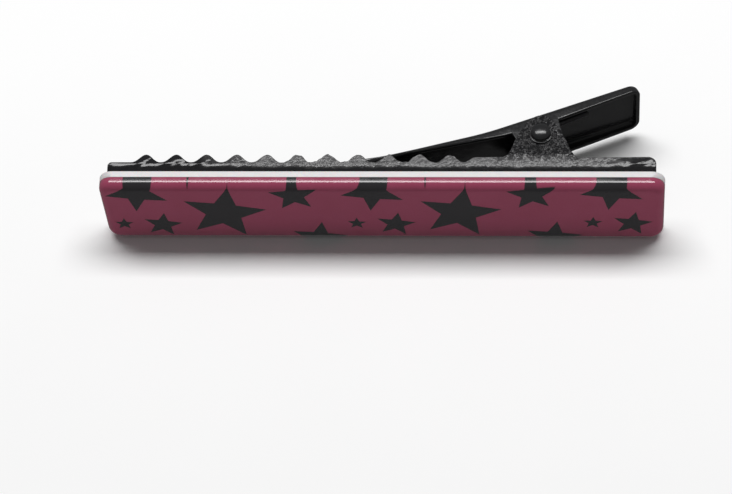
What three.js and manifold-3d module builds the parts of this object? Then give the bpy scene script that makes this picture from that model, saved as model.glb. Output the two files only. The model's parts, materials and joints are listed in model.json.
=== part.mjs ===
// Alligator hair clip: a flat printed bar glued on the back of a toothed sheet-metal spring clip.
// Millimetres. x runs along the clip towards the handle, y from the bar's face towards the
// handle, z across the clip. The clip lies on one long edge of its bar.
import * as THREE from 'three';
import { mergeVertices } from 'three/addons/utils/BufferGeometryUtils.js';
import Module from 'manifold-3d';

// ---- Bar: a plastic core with a printed film over its face ----
const BAR_LENGTH = 77.4;
const BAR_WIDTH = 12.7;
const BAR_THICKNESS = 2.7;
const BAR_CORNER = 1.9;
const BAR_FRONT_FILLET = 1.05;
const BARE_EDGE = 1.0;
const FILM_THICKNESS = 0.1;
const FILM_GAP = 0.02;

// ---- Adhesive between the bar and the clip ----
const ADHESIVE_LENGTH = 70;
const ADHESIVE_WIDTH = 7.6;
const ADHESIVE_THICKNESS = 0.21;
const ADHESIVE_GAP = 0.02;
const ADHESIVE_CORNER = 1.5;

// ---- Base jaw: a toothed channel with two ears ----
const SHEET = 0.6;
const BASE_START = 0.95;
const BASE_END = 76.2;
const BASE_WIDTH = 10.2;
const BASE_BEND = 1.55;
const BASE_BACK = ADHESIVE_THICKNESS + 2 * ADHESIVE_GAP;
const TOOTH_COUNT = 11;
const TOOTH_PITCH = 4.196;
const FIRST_TOOTH = 6.21;
const TOOTH_TOP = 3.7;
const TOOTH_VALLEY = 2.4;
const TOOTH_SHARPNESS = 1.25;
const TOOTH_SAMPLES = 8;
const WALL_TOP = 3.3;
const WALL_CORNER = 1.1;
const EAR_ABOVE_PIN = 3.35;
const EAR_HALF_AT_PIN = 3.1;
const EAR_SHOULDER_HEIGHT = 4.5;
const EAR_FOOT_HALF = 4.85;
const EAR_SAMPLES = 20;

// ---- Pivot ----
const PIVOT_ALONG = 60.5;
const PIVOT_HEIGHT = 7.0;
const PIN_RADIUS = 1.0;
const PIN_FIT = 0.04;
const RIM_RADIUS = 1.65;
const RIM_HEIGHT = 0.22;
const DOME_RADIUS = 1.35;
const DOME_HEIGHT = 0.48;

// ---- Lever jaw: prong, middle run and handle in one bent strip ----
const LEVER_WIDTH = 8.8;
const TIP_ALONG = 2.2;
const TIP_HEIGHT = 1.52;
const PRONG_RUN = 31.75;
const MIDDLE_RUN = 19.75;
const HANDLE_RUN = 22.3;
const PRONG_ANGLE = 2.2;
const MIDDLE_ANGLE = 16.0;
const HANDLE_ANGLE = 22.1;
const LEVER_BEND = 45;
const TIP_HALF_WIDTH = 3.4;
const TIP_CORNER = 1.6;
const TAIL_CORNER = 1.4;
const FLANGE_START = 37.7;
const FLANGE_BLEND = 1;
const FLANGE_BEFORE_LOBE = 1.35;
const FLANGE_INTO_LOBE = 1.8;
const FLANGE_OUT_OF_LOBE = 1.95;
const FLANGE_AT_TAIL = 1.45;
const LOBE_RADIUS = 3.0;
const LOBE_HALF = 3.9;
const LOBE_BACK_HALF = 3.3;
const LOBE_ARC_END = 10;

// ---- Torsion spring round the pin ----
const WIRE_RADIUS = 0.4;
const COIL_RADIUS = 1.85;
const COIL_PITCH = 0.95;
const WHOLE_TURNS = 6;
const LOWER_LEG_ANGLE = -21;
const LOWER_LEG_END = 71.7;
const UPPER_LEG_ANGLE = 26.6;
const UPPER_LEG_LENGTH = 8;
const SPRING_GAP = 0.06;

const ARC_STEPS = 6;
const ROUND_SIDES = 32;
const WIRE_SIDES = 8;
const WIRE_STEPS = 150;
const MARGIN = 1;
const FAR = 20;

const wasm = await Module();
wasm.setup();

const radians = THREE.MathUtils.degToRad;
const barLeft = -BAR_LENGTH / 2;
const pivot = new THREE.Vector2(barLeft + PIVOT_ALONG, PIVOT_HEIGHT);

// ---------- helpers ----------

function toSolid(geometry) {
  geometry.deleteAttribute('normal');
  geometry.deleteAttribute('uv');
  const merged = mergeVertices(geometry, 1e-4);
  const mesh = new wasm.Mesh({
    numProp: 3,
    vertProperties: new Float32Array(merged.attributes.position.array),
    triVerts: new Uint32Array(merged.index.array),
  });
  return new wasm.Manifold(mesh);
}

function toGeometry(solid) {
  const mesh = solid.getMesh();
  const geometry = new THREE.BufferGeometry();
  geometry.setAttribute('position', new THREE.BufferAttribute(mesh.vertProperties, 3));
  geometry.setIndex(new THREE.BufferAttribute(mesh.triVerts, 1));
  geometry.computeVertexNormals();
  return geometry;
}

// A side outline in x and y, made as thick as the given width and centred across the clip.
function acrossSolid(outline, width) {
  const geometry = new THREE.ExtrudeGeometry(new THREE.Shape(outline), { depth: width, bevelEnabled: false });
  geometry.translate(0, 0, -width / 2);
  return toSolid(geometry);
}

// A plan outline in x and z, made into a block from y = low to y = high.
function uprightSolid(shape, low, high) {
  const geometry = new THREE.ExtrudeGeometry(shape, {
    depth: high - low,
    bevelEnabled: false,
    curveSegments: ARC_STEPS,
  });
  geometry.rotateX(Math.PI / 2);
  geometry.translate(0, high, 0);
  return toSolid(geometry);
}

function roundedRectangle(left, right, halfWidth, corner) {
  const shape = new THREE.Shape();
  shape.moveTo(left + corner, -halfWidth);
  shape.absarc(right - corner, -halfWidth + corner, corner, -Math.PI / 2, 0);
  shape.absarc(right - corner, halfWidth - corner, corner, 0, Math.PI / 2);
  shape.absarc(left + corner, halfWidth - corner, corner, Math.PI / 2, Math.PI);
  shape.absarc(left + corner, -halfWidth + corner, corner, Math.PI, 1.5 * Math.PI);
  return shape;
}

function arcPoints(centre, radius, from, to, steps) {
  const points = [];
  for (let i = 0; i <= steps; i += 1) {
    const angle = from + ((to - from) * i) / steps;
    points.push(new THREE.Vector2(centre.x + radius * Math.cos(angle), centre.y + radius * Math.sin(angle)));
  }
  return points;
}

function namedMesh(name, geometry, color, roughness, metalness) {
  const mesh = new THREE.Mesh(geometry, new THREE.MeshStandardMaterial({ color, roughness, metalness }));
  mesh.name = name;
  return mesh;
}

// ---------- bar ----------

// The bar's outer form, drawn in by an inset, from its rounded front to its flat back at y = 0.
function barSlab(inset) {
  const fillet = BAR_FRONT_FILLET - inset;
  const plan = roundedRectangle(
    barLeft + BAR_FRONT_FILLET,
    -barLeft - BAR_FRONT_FILLET,
    BAR_WIDTH / 2 - BAR_FRONT_FILLET,
    BAR_CORNER - BAR_FRONT_FILLET,
  );
  const depth = BAR_THICKNESS - BAR_FRONT_FILLET;
  const geometry = new THREE.ExtrudeGeometry(plan, {
    depth,
    curveSegments: ARC_STEPS,
    bevelThickness: fillet,
    bevelSize: fillet,
    bevelSegments: ARC_STEPS,
  });
  geometry.rotateX(Math.PI / 2);
  return toSolid(geometry);
}

function slabRange(low, high) {
  return uprightSolid(roundedRectangle(barLeft - FAR, FAR - barLeft, BAR_WIDTH, MARGIN), low, high);
}

function barCore() {
  const bareEdge = barSlab(0).intersect(slabRange(-BARE_EDGE, 0));
  const underFilm = barSlab(FILM_THICKNESS + FILM_GAP).intersect(slabRange(-BAR_THICKNESS, -BARE_EDGE / 2));
  return bareEdge.add(underFilm);
}

function printedFilm() {
  const skin = barSlab(0).subtract(barSlab(FILM_THICKNESS));
  return skin.intersect(slabRange(-BAR_THICKNESS - MARGIN, -BARE_EDGE - FILM_GAP));
}

function adhesivePad() {
  const half = ADHESIVE_LENGTH / 2;
  const plan = roundedRectangle(-half, half, ADHESIVE_WIDTH / 2, ADHESIVE_CORNER);
  return uprightSolid(plan, ADHESIVE_GAP, ADHESIVE_GAP + ADHESIVE_THICKNESS);
}

// ---------- base jaw ----------

// Height of the toothed edge: pointed crests over flatter valleys.
function toothHeight(along) {
  const phase = ((along - FIRST_TOOTH) / TOOTH_PITCH) * 2 * Math.PI;
  const crest = (1 + Math.cos(phase)) / 2;
  return TOOTH_VALLEY + (TOOTH_TOP - TOOTH_VALLEY) * crest ** TOOTH_SHARPNESS;
}

function toothedEdge() {
  const points = [];
  const start = FIRST_TOOTH - TOOTH_PITCH / 2;
  for (let i = 0; i <= TOOTH_COUNT * TOOTH_SAMPLES; i += 1) {
    const along = start + (i * TOOTH_PITCH) / TOOTH_SAMPLES;
    points.push(new THREE.Vector2(barLeft + along, toothHeight(along)));
  }
  return points;
}

// The ear's arch: a parabola that peaks above the pin and widens down to its flared feet.
function earEdge() {
  const drop = (PIVOT_HEIGHT - EAR_SHOULDER_HEIGHT) / EAR_ABOVE_PIN;
  const shoulderHalf = EAR_HALF_AT_PIN * Math.sqrt(1 + drop);
  const points = [new THREE.Vector2(pivot.x - EAR_FOOT_HALF, WALL_TOP)];
  for (let i = 0; i <= EAR_SAMPLES; i += 1) {
    const off = shoulderHalf * ((2 * i) / EAR_SAMPLES - 1);
    const rise = EAR_ABOVE_PIN * (1 - (off / EAR_HALF_AT_PIN) ** 2);
    points.push(new THREE.Vector2(pivot.x + off, PIVOT_HEIGHT + rise));
  }
  points.push(new THREE.Vector2(pivot.x + EAR_FOOT_HALF, WALL_TOP));
  return points;
}

function baseSideOutline() {
  const left = barLeft + BASE_START;
  const right = barLeft + BASE_END;
  const lastValley = FIRST_TOOTH + (TOOTH_COUNT - 0.5) * TOOTH_PITCH;
  const tipCorner = WALL_CORNER / 2;
  const tipCentre = new THREE.Vector2(left + tipCorner, TOOTH_VALLEY - tipCorner);
  const tailCentre = new THREE.Vector2(right - WALL_CORNER, WALL_TOP - WALL_CORNER);
  return [
    new THREE.Vector2(left, 0),
    ...arcPoints(tipCentre, tipCorner, Math.PI, Math.PI / 2, ARC_STEPS),
    ...toothedEdge(),
    new THREE.Vector2(barLeft + lastValley + TOOTH_PITCH / 4, WALL_TOP),
    ...earEdge(),
    ...arcPoints(tailCentre, WALL_CORNER, Math.PI / 2, 0, ARC_STEPS),
    new THREE.Vector2(right, 0),
  ];
}

// The channel's section, drawn with its floor at the bottom and open at the top.
function channelSection() {
  const half = BASE_WIDTH / 2;
  const inner = half - SHEET;
  const innerBend = BASE_BEND - SHEET;
  const top = PIVOT_HEIGHT + EAR_ABOVE_PIN + MARGIN;
  const floor = BASE_BACK + SHEET;
  const section = new THREE.Shape();
  section.moveTo(-half, top);
  section.absarc(-half + BASE_BEND, BASE_BACK + BASE_BEND, BASE_BEND, Math.PI, 1.5 * Math.PI);
  section.absarc(half - BASE_BEND, BASE_BACK + BASE_BEND, BASE_BEND, 1.5 * Math.PI, 2 * Math.PI);
  section.lineTo(half, top);
  section.lineTo(inner, top);
  section.absarc(inner - innerBend, floor + innerBend, innerBend, 0, -Math.PI / 2, true);
  section.absarc(-inner + innerBend, floor + innerBend, innerBend, -Math.PI / 2, -Math.PI, true);
  section.lineTo(-inner, top);
  return section;
}

function pinHole(radius) {
  const hole = new THREE.CylinderGeometry(radius, radius, 2 * BASE_WIDTH, ROUND_SIDES);
  hole.rotateX(Math.PI / 2);
  hole.translate(pivot.x, pivot.y, 0);
  return toSolid(hole);
}

function baseJaw() {
  const length = BASE_END - BASE_START + 2 * MARGIN;
  const channel = new THREE.ExtrudeGeometry(channelSection(), {
    depth: length,
    bevelEnabled: false,
    curveSegments: ARC_STEPS,
  });
  channel.rotateY(Math.PI / 2);
  channel.translate(barLeft + BASE_START - MARGIN, 0, 0);
  const side = acrossSolid(baseSideOutline(), BASE_WIDTH + 2 * MARGIN);
  return toSolid(channel).intersect(side).subtract(pinHole(PIN_RADIUS + PIN_FIT));
}

// ---------- pivot pin ----------

function pivotPin() {
  const half = BASE_WIDTH / 2 + PIN_FIT;
  const quarter = [];
  quarter.push(new THREE.Vector2(PIN_RADIUS, half));
  quarter.push(new THREE.Vector2(RIM_RADIUS, half));
  quarter.push(new THREE.Vector2(RIM_RADIUS, half + RIM_HEIGHT));
  for (let i = 0; i <= ARC_STEPS; i += 1) {
    const angle = (i / ARC_STEPS) * (Math.PI / 2);
    const radius = i === ARC_STEPS ? 0 : DOME_RADIUS * Math.cos(angle);
    quarter.push(new THREE.Vector2(radius, half + RIM_HEIGHT + DOME_HEIGHT * Math.sin(angle)));
  }
  const mirrored = quarter.map((point) => new THREE.Vector2(point.x, -point.y)).reverse();
  const pin = new THREE.LatheGeometry([...mirrored, ...quarter], ROUND_SIDES);
  pin.rotateX(Math.PI / 2);
  pin.translate(pivot.x, pivot.y, 0);
  return toSolid(pin);
}

// ---------- lever jaw ----------

function leverCorners() {
  const runs = [
    [PRONG_RUN, PRONG_ANGLE],
    [MIDDLE_RUN, MIDDLE_ANGLE],
    [HANDLE_RUN, HANDLE_ANGLE],
  ];
  const corners = [new THREE.Vector2(barLeft + TIP_ALONG, TIP_HEIGHT)];
  for (const [run, angle] of runs) {
    const step = new THREE.Vector2(run * Math.cos(radians(angle)), run * Math.sin(radians(angle)));
    corners.push(corners[corners.length - 1].clone().add(step));
  }
  return corners;
}

// The lever's outer line from tip to tail, as straight runs joined by bends that curve upwards.
function leverLine(depth) {
  const angles = [PRONG_ANGLE, MIDDLE_ANGLE, HANDLE_ANGLE].map(radians);
  const corners = leverCorners();
  const below = (point, angle) =>
    new THREE.Vector2(point.x + depth * Math.sin(angle), point.y - depth * Math.cos(angle));
  const points = [below(corners[0], angles[0])];
  for (let i = 1; i < angles.length; i += 1) {
    const before = angles[i - 1];
    const after = angles[i];
    const reach = LEVER_BEND * Math.tan((after - before) / 2);
    const entry = new THREE.Vector2(
      corners[i].x - reach * Math.cos(before),
      corners[i].y - reach * Math.sin(before),
    );
    const centre = new THREE.Vector2(
      entry.x - LEVER_BEND * Math.sin(before),
      entry.y + LEVER_BEND * Math.cos(before),
    );
    const quarter = Math.PI / 2;
    points.push(...arcPoints(centre, LEVER_BEND + depth, before - quarter, after - quarter, 2 * ARC_STEPS));
  }
  points.push(below(corners[3], angles[2]));
  return points;
}

function heightOnLine(line, x) {
  const next = line.findIndex((point) => point.x > x);
  const a = line[next - 1];
  const b = line[next];
  return THREE.MathUtils.mapLinear(x, a.x, b.x, a.y, b.y);
}

// The lower edge of the side flanges, from tail to tip, with the deep lobes round the pin.
function flangeEdge() {
  const top = leverLine(0);
  const drop = (along, depth) => {
    const x = barLeft + along;
    return new THREE.Vector2(x, heightOnLine(top, x) - depth / Math.cos(radians(HANDLE_ANGLE)));
  };
  const lobeFrom = radians(-LOBE_ARC_END);
  const lobeTo = radians(LOBE_ARC_END - 180);
  const tail = leverLine(FLANGE_AT_TAIL).pop();
  return [
    tail,
    drop(PIVOT_ALONG + LOBE_BACK_HALF, FLANGE_OUT_OF_LOBE),
    ...arcPoints(pivot, LOBE_RADIUS, lobeFrom, lobeTo, 2 * ARC_STEPS),
    drop(PIVOT_ALONG - LOBE_HALF, FLANGE_INTO_LOBE),
    drop(PIVOT_ALONG - 2 * LOBE_HALF, FLANGE_BEFORE_LOBE),
    drop(FLANGE_START, SHEET),
  ];
}

function leverSideOutline() {
  const upper = leverLine(0);
  const start = barLeft + FLANGE_START;
  const prongBottom = leverLine(SHEET).filter((point) => point.x < start - FLANGE_BLEND);
  return [...upper, ...flangeEdge(), ...prongBottom.reverse()];
}

function leverPlan() {
  const half = LEVER_WIDTH / 2;
  const tip = barLeft + TIP_ALONG;
  const tail = leverCorners()[3].x;
  const shape = new THREE.Shape();
  shape.moveTo(barLeft + FLANGE_START, -half);
  shape.absarc(tail - TAIL_CORNER, -half + TAIL_CORNER, TAIL_CORNER, -Math.PI / 2, 0);
  shape.absarc(tail - TAIL_CORNER, half - TAIL_CORNER, TAIL_CORNER, 0, Math.PI / 2);
  shape.lineTo(barLeft + FLANGE_START, half);
  shape.absarc(tip + TIP_CORNER, TIP_HALF_WIDTH - TIP_CORNER, TIP_CORNER, Math.PI / 2, Math.PI);
  shape.absarc(tip + TIP_CORNER, -TIP_HALF_WIDTH + TIP_CORNER, TIP_CORNER, Math.PI, 1.5 * Math.PI);
  return shape;
}

// The hollow between the flanges, closed at the tail by the end flange.
function leverHollow() {
  const underside = leverLine(SHEET).filter((point) => point.x > barLeft + FLANGE_START - 2 * FLANGE_BLEND);
  const start = underside[0].x;
  const end = underside[underside.length - 1].x;
  const outline = [...underside, new THREE.Vector2(end, -FAR), new THREE.Vector2(start, -FAR)];
  const inner = LEVER_WIDTH / 2 - SHEET;
  const block = acrossSolid(outline, 2 * inner);
  const tail = leverCorners()[3].x - SHEET;
  const plan = roundedRectangle(start - MARGIN, tail, inner, TAIL_CORNER - SHEET);
  return block.intersect(uprightSolid(plan, -FAR, FAR));
}

function leverJaw() {
  const body = acrossSolid(leverSideOutline(), LEVER_WIDTH);
  const plan = uprightSolid(leverPlan(), -FAR, FAR);
  return body.intersect(plan).subtract(leverHollow()).subtract(pinHole(PIN_RADIUS + PIN_FIT));
}

// ---------- torsion spring ----------

// A coil round the pin, wound clockwise seen from above.
class Coil extends THREE.Curve {
  constructor(from, sweep, height) {
    super();
    this.from = from;
    this.sweep = sweep;
    this.height = height;
  }

  getPoint(share, target = new THREE.Vector3()) {
    const angle = this.from + this.sweep * share;
    const x = pivot.x + COIL_RADIUS * Math.cos(angle);
    const y = pivot.y + COIL_RADIUS * Math.sin(angle);
    return target.set(x, y, this.height * (share - 0.5));
  }
}

// From the lower leg's end on the floor, round the pin, to the upper leg's end under the handle.
function springPath() {
  const lower = radians(LOWER_LEG_ANGLE);
  const upper = radians(UPPER_LEG_ANGLE);
  const enter = lower - Math.PI / 2;
  const leave = upper + Math.PI / 2 - 2 * Math.PI;
  const sweep = leave - enter - WHOLE_TURNS * 2 * Math.PI;
  const turns = Math.abs(sweep) / (2 * Math.PI);
  const coil = new Coil(enter, sweep, turns * COIL_PITCH);
  const first = coil.getPoint(0);
  const last = coil.getPoint(1);
  const rest = BASE_BACK + SHEET + SPRING_GAP + WIRE_RADIUS;
  const knee = new THREE.Vector3(first.x + (first.y - rest) / Math.tan(-lower), rest, first.z);
  const floorEnd = new THREE.Vector3(barLeft + LOWER_LEG_END, rest, first.z);
  const upperEnd = last.clone();
  upperEnd.x += UPPER_LEG_LENGTH * Math.cos(upper);
  upperEnd.y += UPPER_LEG_LENGTH * Math.sin(upper);
  const path = new THREE.CurvePath();
  path.add(new THREE.LineCurve3(floorEnd, knee));
  path.add(new THREE.LineCurve3(knee, first));
  path.add(coil);
  path.add(new THREE.LineCurve3(last, upperEnd));
  return path;
}

function torsionSpring() {
  const section = new THREE.Shape();
  section.absarc(0, 0, WIRE_RADIUS, 0, 2 * Math.PI);
  const wire = new THREE.ExtrudeGeometry(section, {
    steps: WIRE_STEPS,
    extrudePath: springPath(),
    curveSegments: WIRE_SIDES / 2,
  });
  return toSolid(wire);
}

// ---------- assembly ----------

const pieces = [
  ['bar_core', barCore, 0xe4e0dc, 0.45, 0],
  ['printed_film', printedFilm, 0xa8446a, 0.2, 0],
  ['adhesive_pad', adhesivePad, 0xd8d4c4, 0.6, 0],
  ['base_jaw', baseJaw, 0x18181a, 0.4, 0.3],
  ['lever_jaw', leverJaw, 0x1a1a1c, 0.35, 0.3],
  ['pivot_pin', pivotPin, 0x1c1c1e, 0.35, 0.3],
  ['torsion_spring', torsionSpring, 0x222224, 0.4, 0.6],
];

const clip = new THREE.Group();
for (const [name, make, color, roughness, metalness] of pieces) {
  clip.add(namedMesh(name, toGeometry(make()), color, roughness, metalness));
}
const extent = new THREE.Box3().setFromObject(clip);
clip.position.set(0, -(extent.min.y + extent.max.y) / 2, -extent.min.z);

export default clip;
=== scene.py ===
"""Alligator hair clip with a star-printed bar, lying on its long edge on a pale studio floor.

Lengths are millimetres in the clip's own directions: x along the clip from the bar's middle towards
the handle, t out from the bar's back towards the handle, and w across the clip from its middle.
place() turns them into the shared frame, in metres.
"""

import json
import math

import bmesh
import bpy
from mathutils import Matrix, Vector, noise


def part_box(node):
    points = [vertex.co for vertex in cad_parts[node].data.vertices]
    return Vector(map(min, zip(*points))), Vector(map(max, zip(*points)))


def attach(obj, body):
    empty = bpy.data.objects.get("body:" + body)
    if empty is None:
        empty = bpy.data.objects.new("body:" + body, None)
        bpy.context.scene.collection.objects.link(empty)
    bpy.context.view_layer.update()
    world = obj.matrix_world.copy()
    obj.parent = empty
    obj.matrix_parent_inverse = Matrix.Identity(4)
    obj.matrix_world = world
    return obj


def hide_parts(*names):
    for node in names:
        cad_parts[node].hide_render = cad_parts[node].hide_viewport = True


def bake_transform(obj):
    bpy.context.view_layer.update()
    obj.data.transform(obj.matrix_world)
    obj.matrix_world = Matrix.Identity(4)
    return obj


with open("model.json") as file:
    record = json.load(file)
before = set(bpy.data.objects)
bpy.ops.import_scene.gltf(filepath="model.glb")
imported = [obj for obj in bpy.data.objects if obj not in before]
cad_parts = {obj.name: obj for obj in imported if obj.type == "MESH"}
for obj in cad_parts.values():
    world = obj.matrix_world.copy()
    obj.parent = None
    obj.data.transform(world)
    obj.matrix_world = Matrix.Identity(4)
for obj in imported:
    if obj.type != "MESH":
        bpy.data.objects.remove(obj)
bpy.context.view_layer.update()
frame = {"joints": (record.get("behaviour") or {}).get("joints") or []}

MM = 0.001
back_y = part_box("bar_core")[1].y
mid_z = (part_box("bar_core")[0].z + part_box("bar_core")[1].z) / 2
hinge = next(j for j in frame["joints"] if j["name"] == "lever_pivot")

# ---------- driving dimensions ----------

BAR_LENGTH = 77.4
BAR_WIDTH = 12.7
BAR_THICKNESS = 2.7
BAR_CORNER = 1.9
BAR_FILLET = 1.05
BAR_DRAFT = 0.045
BARE_EDGE = 1.0
BARE_ROUNDING = 0.18
FILM = 0.1
FILM_GAP = 0.02
SHEET = 0.6
EDGE_ROUND = 0.16
BASE_BACK = 0.25
BASE_START = 0.95
BASE_END = 76.2
BASE_WIDTH = 10.2
BASE_BEND = 1.55
TOOTH_COUNT = 11
TOOTH_PITCH = 4.196
FIRST_TOOTH = 6.21
TOOTH_TOP = 3.7
TOOTH_VALLEY = 2.4
TOOTH_SHARPNESS = 1.25
WALL_TOP = 3.3
WALL_CORNER = 1.1
EAR_ABOVE_PIN = 3.35
EAR_HALF_AT_PIN = 3.1
EAR_SHOULDER_HEIGHT = 4.5
EAR_FOOT_HALF = 4.85
LEVER_WIDTH = 8.8
PIN_RADIUS = 1.0
PIN_FIT = 0.04
WIRE_RADIUS = 0.4

LEFT = -BAR_LENGTH / 2
pivot_x = hinge["pos_m"][0] / MM
pivot_t = (hinge["pos_m"][1] - back_y) / MM


def place(x, t, w):
    """A point of the clip in the shared frame, in metres."""
    return Vector((x * MM, back_y + t * MM, mid_z + w * MM))


# ---------- mesh helpers ----------

MERGE_DISTANCE = 1e-7


def add_piece(name, points, faces, material):
    """A smooth-shaded object made of points and faces, with its faces turned outwards."""
    mesh = bpy.data.meshes.new(name)
    mesh.from_pydata(points, [], faces)
    mesh.validate()
    shaped = bmesh.new()
    shaped.from_mesh(mesh)
    bmesh.ops.remove_doubles(shaped, verts=shaped.verts, dist=MERGE_DISTANCE)
    bmesh.ops.recalc_face_normals(shaped, faces=shaped.faces)
    shaped.to_mesh(mesh)
    shaped.free()
    mesh.materials.append(material)
    for face in mesh.polygons:
        face.use_smooth = True
    piece = bpy.data.objects.new(name, mesh)
    bpy.context.scene.collection.objects.link(piece)
    return piece


def even_normals(piece):
    """Keeps wide flat faces flat in the shading, where they meet narrow rounded edges."""
    modifier = piece.modifiers.new("even_normals", "WEIGHTED_NORMAL")
    modifier.mode = "FACE_AREA_WITH_ANGLE"
    modifier.weight = 50


def add_ring(points, ring):
    """Adds the ring's points to points, and returns their numbers."""
    start = len(points)
    points += ring
    return list(range(start, len(points)))


def ring_faces(rings):
    """Quads between neighbouring rings, each a list of point numbers of one length."""
    faces = []
    for lower, upper in zip(rings, rings[1:]):
        count = len(lower)
        for i in range(count):
            j = (i + 1) % count
            faces.append((lower[i], lower[j], upper[j], upper[i]))
    return faces


def capped(rings):
    """Faces of a stack of rings whose first and last are closed by flat faces."""
    return ring_faces(rings) + [tuple(rings[0]), tuple(rings[-1])]


def arc(cx, cy, radius, start, end, steps):
    """Points on an arc between two angles in degrees."""
    angles = [math.radians(start + (end - start) * k / steps) for k in range(steps + 1)]
    return [(cx + radius * math.cos(a), cy + radius * math.sin(a)) for a in angles]


def rounded_outline(half_length, half_width, corner, corner_steps=10, side_steps=24):
    """A rounded rectangle as (x, w) points, with points along its long sides too."""
    x = half_length - corner
    w = half_width - corner
    shares = [k / side_steps for k in range(1, side_steps)]
    outline = arc(x, -w, corner, -90, 0, corner_steps)
    outline += arc(x, w, corner, 0, 90, corner_steps)
    outline += [(x - 2 * x * share, half_width) for share in shares]
    outline += arc(-x, w, corner, 90, 180, corner_steps)
    outline += arc(-x, -w, corner, 180, 270, corner_steps)
    outline += [(2 * x * share - x, -half_width) for share in shares]
    return outline


def smoothstep(low, high, value):
    """0 below low, 1 above high and a smooth rise between."""
    share = min(max((value - low) / (high - low), 0.0), 1.0)
    return share * share * (3 - 2 * share)


def rounded_rim(half, k):
    """The edge of a sheet at step k of 8, as (lift from its middle, reach past its flat)."""
    bend = math.pi * k / 8
    flat = 0.0 if k == 4 else math.copysign(half - EDGE_ROUND, math.cos(bend))
    return flat + EDGE_ROUND * math.cos(bend), EDGE_ROUND * math.sin(bend)


# ---------- materials ----------


class Graph:
    """Writes nodes into a node tree."""

    def __init__(self, tree):
        self.tree = tree

    def add(self, kind, **settings):
        node = self.tree.nodes.new(kind)
        for key, value in settings.items():
            setattr(node, key, value)
        return node

    def join(self, source, target):
        self.tree.links.new(source, target)

    def feed(self, socket, value):
        if isinstance(value, bpy.types.NodeSocket):
            self.join(value, socket)
        else:
            socket.default_value = value

    def math(self, operation, *values):
        node = self.add("ShaderNodeMath", operation=operation)
        for socket, value in zip(node.inputs, values):
            self.feed(socket, value)
        return node.outputs[0]

    def product(self, first, *others):
        for other in others:
            first = self.math("MULTIPLY", first, other)
        return first

    def total(self, first, *others):
        for other in others:
            first = self.math("ADD", first, other)
        return first


class Surface(Graph):
    """A material's node tree, from object coordinates to its shader."""

    def __init__(self, name):
        self.material = bpy.data.materials.new(name)
        self.material.use_nodes = True
        super().__init__(self.material.node_tree)
        self.shader = self.tree.nodes["Principled BSDF"]
        self.coordinates = self.add("ShaderNodeTexCoord").outputs["Object"]

    def on_clip(self):
        """The surface point's x, t and w, in millimetres."""
        split = self.add("ShaderNodeSeparateXYZ")
        self.join(self.coordinates, split.inputs[0])
        x = self.math("MULTIPLY", split.outputs["X"], 1 / MM)
        t = self.math("MULTIPLY_ADD", split.outputs["Y"], 1 / MM, -back_y / MM)
        w = self.math("MULTIPLY_ADD", split.outputs["Z"], 1 / MM, -mid_z / MM)
        return x, t, w

    def noise(self, scale, detail=2.0, roughness=0.5, vector=None):
        node = self.add("ShaderNodeTexNoise")
        self.join(self.coordinates if vector is None else vector, node.inputs["Vector"])
        node.inputs["Scale"].default_value = scale
        node.inputs["Detail"].default_value = detail
        node.inputs["Roughness"].default_value = roughness
        return node.outputs["Fac"]

    def slanted(self, degrees, stretch, squeeze):
        """Coordinates whose patterns run long along a slant in the wall's plane."""
        node = self.add("ShaderNodeMapping", vector_type="TEXTURE")
        node.inputs["Rotation"].default_value = (0.0, 0.0, math.radians(degrees))
        node.inputs["Scale"].default_value = (stretch, squeeze, 1.0)
        self.join(self.coordinates, node.inputs["Vector"])
        return node.outputs["Vector"]

    def spread(self, value, low, high, to_low=0.0, to_high=1.0):
        """Maps low..high to to_low..to_high, and holds the ends beyond."""
        node = self.add("ShaderNodeMapRange")
        for socket, number in zip(node.inputs, (value, low, high, to_low, to_high)):
            self.feed(socket, number)
        return node.outputs["Result"]

    def mix(self, factor, a, b):
        """Mixes two colours, each a socket or red, green and blue."""
        node = self.add("ShaderNodeMix", data_type="RGBA")
        self.feed(node.inputs["Factor"], factor)
        for label, colour in (("A", a), ("B", b)):
            self.feed(node.inputs[label], (*colour, 1) if isinstance(colour, tuple) else colour)
        return node.outputs["Result"]

    def bump(self, height, strength=1.0, distance=MM):
        node = self.add("ShaderNodeBump")
        node.inputs["Strength"].default_value = strength
        node.inputs["Distance"].default_value = distance
        self.join(height, node.inputs["Height"])
        return node.outputs["Normal"]

    def set(self, **values):
        """Feeds shader inputs, named with underscores for spaces."""
        for key, value in values.items():
            self.feed(self.shader.inputs[key.replace("_", " ")], value)


def enamel(name, roughness, ripple):
    """Black baked enamel, smooth where it is even: a faint long ripple and dust-sized specks."""
    n = Surface(name)
    wide = n.noise(420)
    fine = n.noise(2800, detail=3.0)
    n.set(Base_Color=n.mix(wide, (0.012, 0.012, 0.013), (0.019, 0.019, 0.020)))
    n.set(Roughness=n.spread(fine, 0.3, 0.7, roughness * 0.75, roughness * 1.3))
    height = n.math("MULTIPLY_ADD", fine, ripple * 0.12, n.product(wide, ripple))
    n.set(Normal=n.bump(height))
    return n.material


# Where the thick enamel changes on the toothed jaw: along from the bar's end, and out from its back.
GRAIN_BEGINS = (15.0, 23.0)
GRAIN_ENDS = (67.5, 72.0)
GRAIN_ABOVE = (1.3, 2.0)
DRIPS_ABOVE = (1.2, 2.1)
BEADS_BEGIN = (52.0, 56.0)
BEADS_END = (65.5, 68.5)
BEADS_ABOVE = (2.3, 3.7)
# Heights out from the bar's back over which the painted highlight along the wall's top edge fades in.
PAINTED_HIGHLIGHT_CREST_ABOVE = (2.9, 3.4)


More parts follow.
